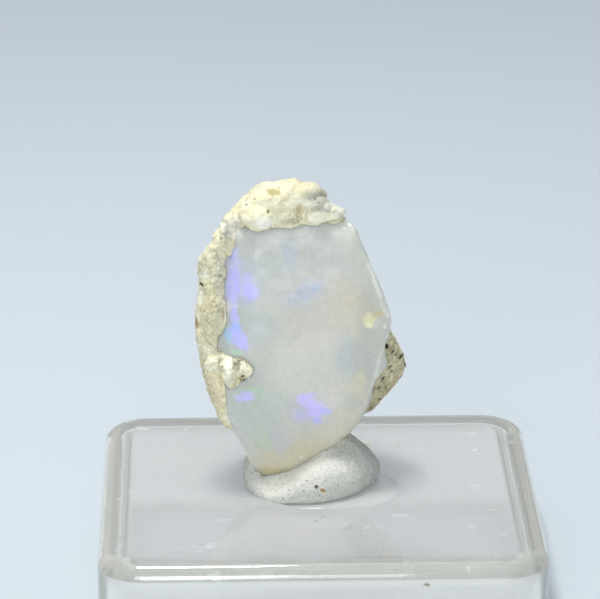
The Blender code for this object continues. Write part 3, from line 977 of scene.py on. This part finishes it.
def between(share: np.ndarray, start: float, end: float) -> np.ndarray:
    """What lies between start at share 0 and end at share 1."""
    return start + (end - start) * share


def crumb(place: Vector) -> float:
    """A rounded crumb in each of scattered cells, from about 0.5 at its middle down to -0.5."""
    return 0.5 - noise.voronoi(place)[0][0]


def rugged(place: Vector) -> float:
    """Fractal noise of four layers."""
    return noise.fractal(place, 0.7, 2.1, 4)


def solid_tree(node: Node) -> BVHTree:
    """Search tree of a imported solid's faces.

    Args:
        node: the solid.

    Returns:
        The tree, in millimetres.
    """
    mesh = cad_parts[node.value].data
    corners = [v.co / MM for v in mesh.vertices]
    return BVHTree.FromPolygons(corners, [p.vertices[:] for p in mesh.polygons])


@dataclass(frozen=True)
class Waves:
    """Noise over a mesh: how wide its waves are, a number that shifts it, and its kind."""

    size: float
    seed: float
    kind: Callable[[Vector], float] = noise.noise


@dataclass(frozen=True)
class Pit:
    """A soft pit at (u, w, n), with its reach along each and its depth, which is negative for a swelling."""

    centre: Triple
    half: Triple
    depth: float


@dataclass(frozen=True)
class Dent:
    """A dent pressed into the putty from above, at x and y from the middle of the box."""

    x: float
    y: float
    reach: float
    depth: float


class Skin:
    """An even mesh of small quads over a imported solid, worked on as arrays in millimetres."""

    def __init__(self, node: Node, grain: float) -> None:
        """Covers a solid.

        Args:
            node: the solid.
            grain: the side of a quad.
        """
        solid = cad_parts[node.value]
        holder = bpy.data.objects.new("cover", solid.data.copy())
        bpy.context.scene.collection.objects.link(holder)
        voxels = holder.modifiers.new("voxels", "REMESH")
        voxels.mode = "VOXEL"
        voxels.voxel_size = grain * MM
        evaluated = holder.evaluated_get(bpy.context.evaluated_depsgraph_get())
        self.mesh = bpy.data.meshes.new_from_object(evaluated)
        bpy.data.objects.remove(holder)
        count = len(self.mesh.vertices)
        flat = np.empty(3 * count)
        self.mesh.vertices.foreach_get("co", flat)
        self.points = flat.reshape(-1, 3) / MM
        ends = np.empty(2 * len(self.mesh.edges), dtype=int)
        self.mesh.edges.foreach_get("vertices", ends)
        self.start = np.concatenate((ends[0::2], ends[1::2]))
        self.end = np.concatenate((ends[1::2], ends[0::2]))
        self.degree = np.bincount(self.start, minlength=count)[:, None]

    def slab(self) -> np.ndarray:
        """Every point as (u, w, n)."""
        return (self.points - np.array(SLAB.foot) / MM) @ SLAB.axes()

    def write(self) -> None:
        """Puts the points back into the mesh."""
        self.mesh.vertices.foreach_set("co", (self.points * MM).ravel())
        self.mesh.update()

    def normals(self) -> np.ndarray:
        """The way that the surface faces at every point.

        Returns:
            Unit directions.
        """
        self.write()
        flat = np.empty(3 * len(self.points))
        self.mesh.vertices.foreach_get("normal", flat)
        return flat.reshape(-1, 3)

    def around(self, values: np.ndarray) -> np.ndarray:
        """The mean of the neighbours' values at every point."""
        sums = [np.bincount(self.start, column[self.end], len(values)) for column in values.T]
        return np.stack(sums, axis=1) / self.degree

    def relax(self, times: int, share: np.ndarray | float = 0.5, along: np.ndarray | None = None) -> None:
        """Draws every point towards its neighbours.

        Args:
            times: how often.
            share: how far, at each point.
            along: the only direction that a point may move in, if there is one.
        """
        for _ in range(times):
            move = (self.around(self.points) - self.points) * share
            if along is not None:
                move = (move @ along)[:, None] * along
            self.points = self.points + move

    def field(self, waves: Waves) -> np.ndarray:
        """Noise at every point."""
        places = self.points / waves.size + np.array((waves.seed, -1.7 * waves.seed, 0.6 * waves.seed))
        return np.array([waves.kind(Vector(p)) for p in places])

    def push(self, height: np.ndarray) -> None:
        """Moves every point out of the surface."""
        self.points = self.points + self.normals() * height[:, None]

    def to(self, tree: BVHTree, limit: float) -> tuple[np.ndarray, np.ndarray]:
        """The way from every point to the nearest place of another solid.

        Args:
            tree: the solid's search tree.
            limit: how far to look.

        Returns:
            The ways, which are 0 where there is none, and the distances, which are limit there.
        """
        ways = np.zeros_like(self.points)
        distances = np.full(len(self.points), limit)
        for i, p in enumerate(self.points):
            place, _, _, distance = tree.find_nearest(Vector(p), limit)
            if place is not None:
                ways[i] = place
                ways[i] -= p
                distances[i] = distance
        return ways, distances

    def close(self, tree: BVHTree, gap: float, share: float) -> None:
        """Moves the surface across the gap that a solid keeps to its neighbour.

        Args:
            tree: the neighbour's search tree.
            gap: how wide the gap is. The move fades out where the neighbour is twice as far.
            share: how much of the gap is taken up. More than 1 goes into the neighbour.
        """
        ways, distances = self.to(tree, 2 * gap)
        fade = np.clip(2.0 - distances / gap, 0.0, 1.0)
        self.points = self.points + ways * (share * fade)[:, None]

    def piece(self, name: str, finish: bpy.types.Material) -> bpy.types.Object:
        """Makes the mesh an object.

        Args:
            name: the object's name.
            finish: its material.

        Returns:
            The object.
        """
        self.write()
        self.mesh.name = name
        return piece_of(name, self.mesh, finish)


def piece_of(name: str, mesh: bpy.types.Mesh, finish: bpy.types.Material) -> bpy.types.Object:
    """Makes a smooth-shaded object of a mesh.

    Args:
        name: the object's name.
        mesh: its mesh.
        finish: its material.

    Returns:
        The object.
    """
    mesh.shade_smooth()
    mesh.materials.clear()
    mesh.materials.append(finish)
    made = bpy.data.objects.new(name, mesh)
    bpy.context.scene.collection.objects.link(made)
    return made


def settle(made: bpy.types.Object, node: Node) -> bpy.types.Object:
    """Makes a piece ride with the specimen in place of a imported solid.

    Args:
        made: the piece.
        node: the solid that it stands for.

    Returns:
        The same piece.
    """
    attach(made, "root")
    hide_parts(node.value)
    return made


@dataclass
class Opal:
    """The broken opal, milky and translucent."""

    finish: OpalFinish = field(default_factory=OpalFinish)
    grain: float = 0.12
    gap: float = 0.3
    closed_share: float = 0.2
    first_rounds: int = 3
    blend_rounds: int = 60
    blend_share: float = 0.5
    blend_facing: Limits = (0.35, 0.75)
    blend_clear: Limits = (0.45, 0.9)  # of the rock
    swells: Waves = Waves(2.6, 3.0)
    swell_height: float = 0.05
    dimples: Waves = Waves(0.8, 5.0)
    dimple_height: float = 0.012
    chips: Waves = Waves(0.5, 9.0, crumb)
    chip_height: float = 0.09
    chip_level: float = 0.1
    rim_n: float = -0.3
    rim: Limits = (0.3, 0.8)
    foot_drop: float = 0.46
    foot_reach: float = 2.4

    def build(self) -> bpy.types.Object:
        """Makes the opal's mesh over its solid and dresses it.

        Returns:
            The piece.
        """
        skin = Skin(Node.OPAL, self.grain)
        rock = solid_tree(Node.ROCK)
        self.blend_faces(skin, rock)
        self.ripple(skin)
        skin.close(rock, self.gap, self.closed_share)
        self.lower_foot(skin)
        return settle(skin.piece("opal_stone", self.finish.make()), Node.OPAL)

    def blend_faces(self, skin: Skin, rock: BVHTree) -> None:
        """Softens the edges between the broken faces in front, away from the rock.

        Args:
            skin: the opal's mesh.
            rock: the rock's search tree.
        """
        out = SLAB.axes()[:, 2]
        skin.relax(self.first_rounds)
        facing = skin.normals() @ out
        _, away = skin.to(rock, 1.0)
        share = self.blend_share * step(facing, *self.blend_facing) * step(away, *self.blend_clear)
        skin.relax(self.blend_rounds, share[:, None], out)

    def ripple(self, skin: Skin) -> None:
        """Gives the broken faces their shallow swells and small dimples, and the rim its chips.

        Args:
            skin: the opal's mesh.
        """
        _, _, n = skin.slab().T
        rim = 1.0 - step(np.abs(n - self.rim_n), *self.rim)
        height = skin.field(self.swells) * self.swell_height + skin.field(self.dimples) * self.dimple_height
        skin.push(height + (skin.field(self.chips) - self.chip_level) * rim * self.chip_height)

    def lower_foot(self, skin: Skin) -> None:
        """Draws the foot down into the putty's dent.

        Args:
            skin: the opal's mesh.
        """
        _, w, _ = skin.slab().T
        lower = self.foot_drop * (1.0 - step(w, 0.0, self.foot_reach))
        skin.points = skin.points - lower[:, None] * SLAB.axes()[:, 1]


@dataclass
class HostRock:
    """The rock that the opal grew in, with clay lumps along the opal's edge.

    Its zones are the clay in front, the dome of clay at the top and the strip of it down the left edge.
    """

    finish: RockFinish = field(default_factory=RockFinish)
    grain: float = 0.108
    gap: float = 0.3
    first_rounds: int = 2
    into_opal: float = 1.3
    into_putty: float = 1.05
    border: float = 1.1
    edge_height: float = 0.15
    edge_dome: Limits = (17.5, 18.5)
    edge_thinned: Limits = (0.75, 0.40)  # below the dome and on it
    clay: Limits = (-0.4, 0.4)  # of n
    dome: Limits = (17.8, 19.2)  # of w, as the strip's are
    strip_top: Limits = (16.0, 17.5)
    strip_foot: Limits = (7.0, 7.4)
    crumbs: Waves = Waves(0.75, 2.0, crumb)
    small_crumbs: Waves = Waves(0.36, 4.0, crumb)
    small_share: float = 0.5
    crumb_height: float = 0.16
    rear_crumbs: float = 0.55
    dome_crumbs: float = 0.45
    strip_crumbs: float = 0.5
    swells: Waves = Waves(1.3, 7.0, rugged)
    swell_heights: Limits = (0.07, 0.04)  # off the dome and on it
    grit: Waves = Waves(0.2, 11.0)
    grit_heights: Limits = (0.05, 0.02)  # off the dome and on it
    holes: Waves = Waves(0.42, 13.0)
    hole_step: Limits = (0.30, 0.50)
    hole_depths: Limits = (0.12, 0.07)  # behind and in the clay
    weathered: float = 0.03
    pits: tuple[Pit, ...] = (
        Pit((-5.02, 14.2, -0.1), (0.28, 0.14, 0.7), 0.20),
        Pit((-5.3, 11.2, -1.3), (0.22, 0.4, 0.5), 0.14),
        Pit((-4.1, 18.6, -0.1), (0.60, 0.50, 1.2), 0.40),
        Pit((-3.2, 18.8, -0.9), (0.65, 0.55, 1.2), -0.36),
        Pit((3.2, 21.15, -0.1), (0.95, 0.75, 1.4), -0.55),
        Pit((5.35, 18.95, 0.4), (0.36, 0.36, 0.8), 0.32),
        Pit((5.15, 20.0, 0.4), (0.40, 0.30, 0.8), 0.15),
        Pit((-3.54, 14.9, 0.6), (0.20, 0.20, 0.4), 0.18),
        Pit((-4.45, 11.45, 0.5), (0.40, 0.36, 0.6), 0.10),
        Pit((-3.62, 8.2, 0.9), (0.13, 0.75, 0.8), 0.48),
        Pit((-2.50, 8.6, 1.0), (0.15, 0.80, 0.8), 0.55),
        Pit((-2.15, 7.45, 1.0), (0.40, 0.20, 0.8), 0.30),
        Pit((-1.45, 8.80, 1.0), (0.36, 0.36, 0.8), 0.45),
        Pit((-3.9, 9.25, 0.8), (0.7, 0.16, 0.6), 0.25),
        Pit((-4.3, 7.6, 0.8), (0.5, 0.14, 0.6), 0.22),
        Pit((2.3, 19.3, 0.9), (0.30, 0.75, 0.6), 0.32),
        Pit((0.6, 18.7, 1.0), (0.22, 0.40, 0.5), 0.22),
        Pit((4.2, 19.0, 0.9), (0.22, 0.35, 0.5), 0.20),
        Pit((8.53, 9.06, -2.3), (0.20, 0.24, 0.5), 0.24),
        Pit((9.04, 8.56, -2.7), (0.17, 0.17, 0.5), 0.18),
        Pit((9.75, 8.03, -3.5), (0.26, 0.18, 0.5), 0.18),
        Pit((10.1, 7.6, -3.8), (0.18, 0.22, 0.5), 0.20),
        Pit((8.8, 7.4, -2.8), (0.17, 0.15, 0.5), 0.16),
        Pit((8.25, 6.55, -2.6), (0.14, 0.16, 0.4), 0.16),
        Pit((8.0, 5.83, -2.8), (0.16, 0.14, 0.4), 0.16),
        Pit((8.06, 4.85, -3.5), (0.14, 0.18, 0.4), 0.16),
    )

    def build(self) -> bpy.types.Object:
        """Makes the rock's mesh over its solid and dresses it.

        Returns:
            The piece.
        """
        skin = Skin(Node.ROCK, self.grain)
        skin.relax(self.first_rounds)
        opal = solid_tree(Node.OPAL)
        self.thin_border(skin, opal)
        skin.close(opal, self.gap, self.into_opal)
        skin.close(solid_tree(Node.PUTTY), self.gap, self.into_putty)
        self.weather(skin)
        self.sink_pits(skin)
        return settle(skin.piece("host_rock_body", self.finish.make()), Node.ROCK)

    def thin_border(self, skin: Skin, opal: BVHTree) -> None:
        """Thins the clay where it ends on the opal, so that it runs out on it.

        Args:
            skin: the rock's mesh.
            opal: the opal's search tree.
        """
        out = SLAB.axes()[:, 2]
        ways, distances = skin.to(opal, self.border)
        above = -(ways @ out) - self.edge_height
        near = 1.0 - step(distances, self.gap, self.border)
        _, w, _ = skin.slab().T
        share = near * between(step(w, *self.edge_dome), *self.edge_thinned)
        skin.points = skin.points - (np.maximum(above, 0.0) * share)[:, None] * out

    def weather(self, skin: Skin) -> None:
        """Gives the surface its crumbs, swells, grit and small holes.

        Args:
            skin: the rock's mesh.
        """
        _, w, n = skin.slab().T
        clay = step(n, *self.clay)
        dome = step(w, *self.dome) * clay
        strip = (1.0 - step(w, *self.strip_top)) * step(w, *self.strip_foot) * clay
        crumbs = skin.field(self.crumbs) + self.small_share * skin.field(self.small_crumbs)
        crumbs *= between(clay, self.rear_crumbs, 1.0) * between(dome, 1.0, self.dome_crumbs)
        height = crumbs * self.crumb_height * between(strip, 1.0, self.strip_crumbs)
        height += skin.field(self.swells) * between(dome, *self.swell_heights)
        height += skin.field(self.grit) * between(dome, *self.grit_heights)
        holes = step(skin.field(self.holes), *self.hole_step)
        height -= holes * between(clay, *self.hole_depths) * (1.0 - dome)
        skin.push(height - self.weathered)

    def sink_pits(self, skin: Skin) -> None:
        """Sinks the pits and grooves, and raises the swellings.

        Args:
            skin: the rock's mesh.
        """
        places = skin.slab()
        sunk = np.zeros(len(places))
        for pit in self.pits:
            away = np.linalg.norm((places - np.array(pit.centre)) / np.array(pit.half), axis=1)
            sunk += pit.depth * np.exp(-(away**2))
        skin.push(-sunk)


@dataclass
class MountingPutty:
    """The lump of putty that holds the specimen's foot."""

    finish: PuttyFinish = field(default_factory=PuttyFinish)
    grain: float = 0.11
    gap: float = 0.3
    first_rounds: int = 4
    into_opal: float = 1.15
    film: float = 0.01
    foot_blend: float = 0.7
    free: Limits = (0.05, 0.5)  # above the box
    dents: tuple[Dent, ...] = (Dent(-3.1, -2.9, 1.7, 0.62), Dent(-4.7, -1.2, 1.3, 0.55))
    kneading: tuple[tuple[Waves, float], ...] = (
        (Waves(0.8, 21.0), 0.08),
        (Waves(0.3, 23.0), 0.036),
        (Waves(0.16, 25.0), 0.024),
    )

    def build(self) -> bpy.types.Object:
        """Makes the putty's mesh over its solid and dresses it.

        Returns:
            The piece.
        """
        skin = Skin(Node.PUTTY, self.grain)
        skin.relax(self.first_rounds)
        skin.close(solid_tree(Node.OPAL), self.gap, self.into_opal)
        self.press_down(skin)
        self.knead(skin)
        return settle(skin.piece("putty_lump", self.finish.make()), Node.PUTTY)

    def press_down(self, skin: Skin) -> None:
        """Brings the putty's foot down on the box."""
        above = skin.points[:, 2] - (box_top() / MM + self.gap)
        skin.points[:, 2] -= (self.gap - self.film) * (1.0 - step(above, 0.0, self.foot_blend))

    def knead(self, skin: Skin) -> None:
        """Gives the surface the dents and the unevenness of pressed putty.

        Args:
            skin: the putty's mesh.
        """
        free = step(skin.points[:, 2] - box_top() / MM, *self.free)
        for dent in self.dents:
            beside = np.linalg.norm(skin.points[:, :2] - np.array((dent.x, dent.y)), axis=1)
            skin.points[:, 2] -= dent.depth * free * np.exp(-((beside / dent.reach) ** 2))
        skin.push(sum(skin.field(waves) * height for waves, height in self.kneading) * free)


@dataclass
class DisplayBox:
    """The shallow clear box, upside down."""

    finish: ClearPlasticFinish = field(default_factory=ClearPlasticFinish)
    wall: float = 1.2
    corner: float = BOX_CORNER
    edge: float = 1.1
    cove: float = 1.2
    rim_round: float = 0.25
    corner_steps: int = 24
    edge_steps: int = 12
    sharp_deg: float = 35.0

    def build(self) -> bpy.types.Object:
        """Makes the box's shell and dresses it.

        Returns:
            The piece.
        """
        rings = [self.ring(inset, height) for inset, height in self.section()]
        bm = bmesh.new()
        rows = [[bm.verts.new(p) for p in ring] for ring in rings]
        for low, high in zip(rows, rows[1:]):
            for i in range(len(low)):
                j = (i + 1) % len(low)
                bm.faces.new((low[i], low[j], high[j], high[i]))
        bm.faces.new(rows[0])
        bm.faces.new(reversed(rows[-1]))
        bmesh.ops.recalc_face_normals(bm, faces=bm.faces)
        mesh = bpy.data.meshes.new("clear_box_shell")
        bm.to_mesh(mesh)
        bm.free()
        made = piece_of("clear_box_shell", mesh, self.finish.make())
        mesh.set_sharp_from_angle(angle=math.radians(self.sharp_deg))
        return settle(made, Node.BOX)

    def section(self) -> list[tuple[float, float]]:
        """The wall's section, as the inset and height of each ring.

        Returns:
            The rings from the ceiling inside, round the rim, to the top outside.
        """
        height = box_top() / MM
        ceiling = height - self.wall
        r = self.rim_round
        turns = [math.radians(90.0 * i / self.edge_steps) for i in range(self.edge_steps + 1)]
        rises = [(1 - math.cos(a), 1 - math.sin(a)) for a in turns]
        inside = [(self.wall + self.cove * x, ceiling - self.cove * y) for x, y in reversed(rises)]
        rim_in = [(self.wall - r * x, r * y) for x, y in rises]
        rim_out = [(r * x, r * y) for x, y in reversed(rises)]
        outside = [(self.edge * x, height - self.edge * y) for x, y in rises]
        return inside + rim_in + rim_out + outside

    def ring(self, inset: float, height: float) -> list[Vector]:
        """One ring of the rounded square.

        Args:
            inset: how far it lies inside the plan outline.
            height: its height above the floor.

        Returns:
            Its points, in metres.
        """
        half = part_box(Node.BOX.value)[1].x / MM - inset
        radius = self.corner - inset
        points = []
        for quarter in range(4):
            middle = math.radians(90.0 * quarter + 45.0)
            x = math.copysign(half - radius, math.cos(middle))
            y = math.copysign(half - radius, math.sin(middle))
            for i in range(self.corner_steps + 1):
                a = math.radians(90.0 * quarter + 90.0 * i / self.corner_steps)
                points.append(Vector((x + radius * math.cos(a), y + radius * math.sin(a), height)) * MM)
        return points


@dataclass(frozen=True)
class Lamp:
    """A square soft lamp that looks at the specimen."""

    name: str
    place: Triple
    side: float
    power: float
    colour: Triple = (1.0, 1.0, 1.0)

    def light(self, target: Vector) -> None:
        """Hangs the lamp and turns it.

        Args:
            target: where it looks.
        """
        data = bpy.data.lights.new(self.name, "AREA")
        data.energy = self.power
        data.size = self.side
        data.color = self.colour
        made = bpy.data.objects.new(self.name, data)
        made.location = self.place
        made.rotation_euler = (target - made.location).to_track_quat("-Z", "Y").to_euler()
        bpy.context.scene.collection.objects.link(made)


@dataclass(frozen=True)
class Studio:
    """Plain floor, soft light and the camera, with places and sides in metres."""

    floor_side: float = 6.0
    sky: Triple = (0.88, 0.94, 1.0)
    sky_strength: float = 0.48
    lens: float = 244.2
    clip_start: float = 0.01
    camera_place: Triple = (-0.00777, -0.280564, 0.113203)
    yaw_deg: float = 1.31
    elevation_deg: float = 18.02
    roll_deg: float = -0.15
    lamps: tuple[Lamp, ...] = (
        Lamp("key", (-0.036, 0.006, 0.30), 0.070, 0.74, (1.0, 0.99, 0.97)),
        Lamp("front", (-0.15, -0.78, 0.12), 0.42, 3.35),
    )

    def build(self) -> None:
        """Sets up the floor, the lights and the camera."""
        self.lay_floor()
        self.light()
        self.set_camera()

    def lay_floor(self) -> None:
        """Lays the floor under the box."""
        bm = bmesh.new()
        bmesh.ops.create_grid(bm, x_segments=1, y_segments=1, size=self.floor_side / 2)
        mesh = bpy.data.meshes.new("floor")
        bm.to_mesh(mesh)
        bm.free()
        piece_of("floor", mesh, FloorFinish().make())

    def light(self) -> None:
        """Sets the sky's even light and hangs the lamps."""
        scene = bpy.context.scene
        scene.world = bpy.data.worlds.new("studio")
        scene.world.use_nodes = True
        sky = scene.world.node_tree.nodes["Background"]
        sky.inputs["Color"].default_value = (*self.sky, 1.0)
        sky.inputs["Strength"].default_value = self.sky_strength
        low, high = CAD_BOUNDS
        for lamp in self.lamps:
            lamp.light((low + high) / 2)

    def set_camera(self) -> None:
        """Places the camera."""
        data = bpy.data.cameras.new("camera")
        data.lens = self.lens
        data.clip_start = self.clip_start
        camera = bpy.data.objects.new("camera", data)
        camera.rotation_mode = "QUATERNION"
        tilt = Matrix.Rotation(math.radians(90.0 - self.elevation_deg), 3, "X")
        pan = Matrix.Rotation(-math.radians(self.yaw_deg), 3, "Z")
        roll = Matrix.Rotation(math.radians(self.roll_deg), 3, "Z")
        camera.rotation_quaternion = (pan @ tilt @ roll).to_quaternion()
        camera.location = self.camera_place
        bpy.context.scene.collection.objects.link(camera)
        bpy.context.scene.camera = camera
        bpy.context.scene.view_settings.view_transform = "Standard"


def main() -> None:
    """Builds every piece and reports it, then sets up the studio round them."""
    logging.basicConfig(level=logging.INFO, format="%(name)s: %(message)s")
    for part in (Opal(), HostRock(), MountingPutty(), DisplayBox()):
        made = part.build()
        log.info("%s: %d faces", made.name, len(made.data.polygons))
    Studio().build()
    log.info("floor, lamps and camera are set")


if __name__ == "__main__":
    main()
